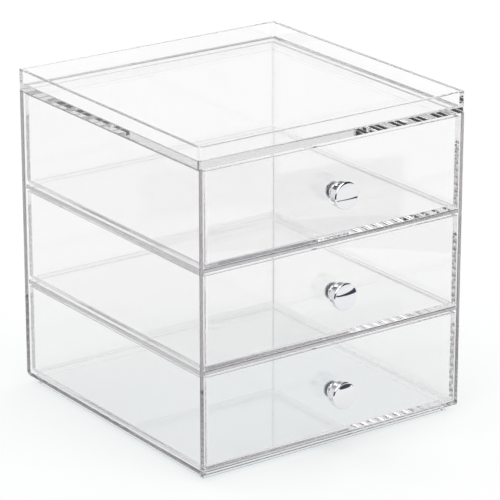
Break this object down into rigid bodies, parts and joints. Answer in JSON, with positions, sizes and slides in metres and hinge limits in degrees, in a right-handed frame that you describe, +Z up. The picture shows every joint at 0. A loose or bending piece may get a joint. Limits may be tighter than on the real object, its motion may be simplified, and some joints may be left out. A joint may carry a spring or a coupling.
{
  "type": "cosmetic drawer organizer",
  "caption": "Clear plastic cube organizer with stacked pull-out drawers, round metal knobs and a shallow lipped tray on top.",
  "frame": {"origin": "on the surface that the organizer stands on, under the middle of its bounding box, knobs included", "axes": "+Z up, -Y is the way the drawers open, +X to the right of someone who stands in front and faces the drawers"},
  "size_m": [0.17, 0.183, 0.1814],
  "materials": {
    "case_plastic": "clear, moulded and polished",
    "tray_plastic": "clear, moulded and polished",
    "shelf_plastic": "clear, polished sheet",
    "drawer_plastic": "clear, moulded and polished",
    "knob_metal": "turned and chrome plated",
    "fixing_steel": "zinc plated"
  },
  "bodies": {
    "case": {"case_shell": "case_plastic", "top_tray": "tray_plastic", "shelf_lower": "shelf_plastic", "shelf_upper": "shelf_plastic"},
    "bottom_drawer": {"drawer_bottom": "drawer_plastic", "knob_bottom": "knob_metal", "knob_screw_bottom": "fixing_steel", "knob_washer_bottom": "fixing_steel"},
    "middle_drawer": {"drawer_middle": "drawer_plastic", "knob_middle": "knob_metal", "knob_screw_middle": "fixing_steel", "knob_washer_middle": "fixing_steel"},
    "top_drawer": {"drawer_top": "drawer_plastic", "knob_top": "knob_metal", "knob_screw_top": "fixing_steel", "knob_washer_top": "fixing_steel"}
  },
  "joints": [
    {"name": "bottom_drawer_slide", "type": "slide", "parent": "case", "child": "bottom_drawer", "axis": [0, -1, 0], "range_m": [0, 0.14]},
    {"name": "middle_drawer_slide", "type": "slide", "parent": "case", "child": "middle_drawer", "axis": [0, -1, 0], "range_m": [0, 0.14]},
    {"name": "top_drawer_slide", "type": "slide", "parent": "case", "child": "top_drawer", "axis": [0, -1, 0], "range_m": [0, 0.14]}
  ]
}
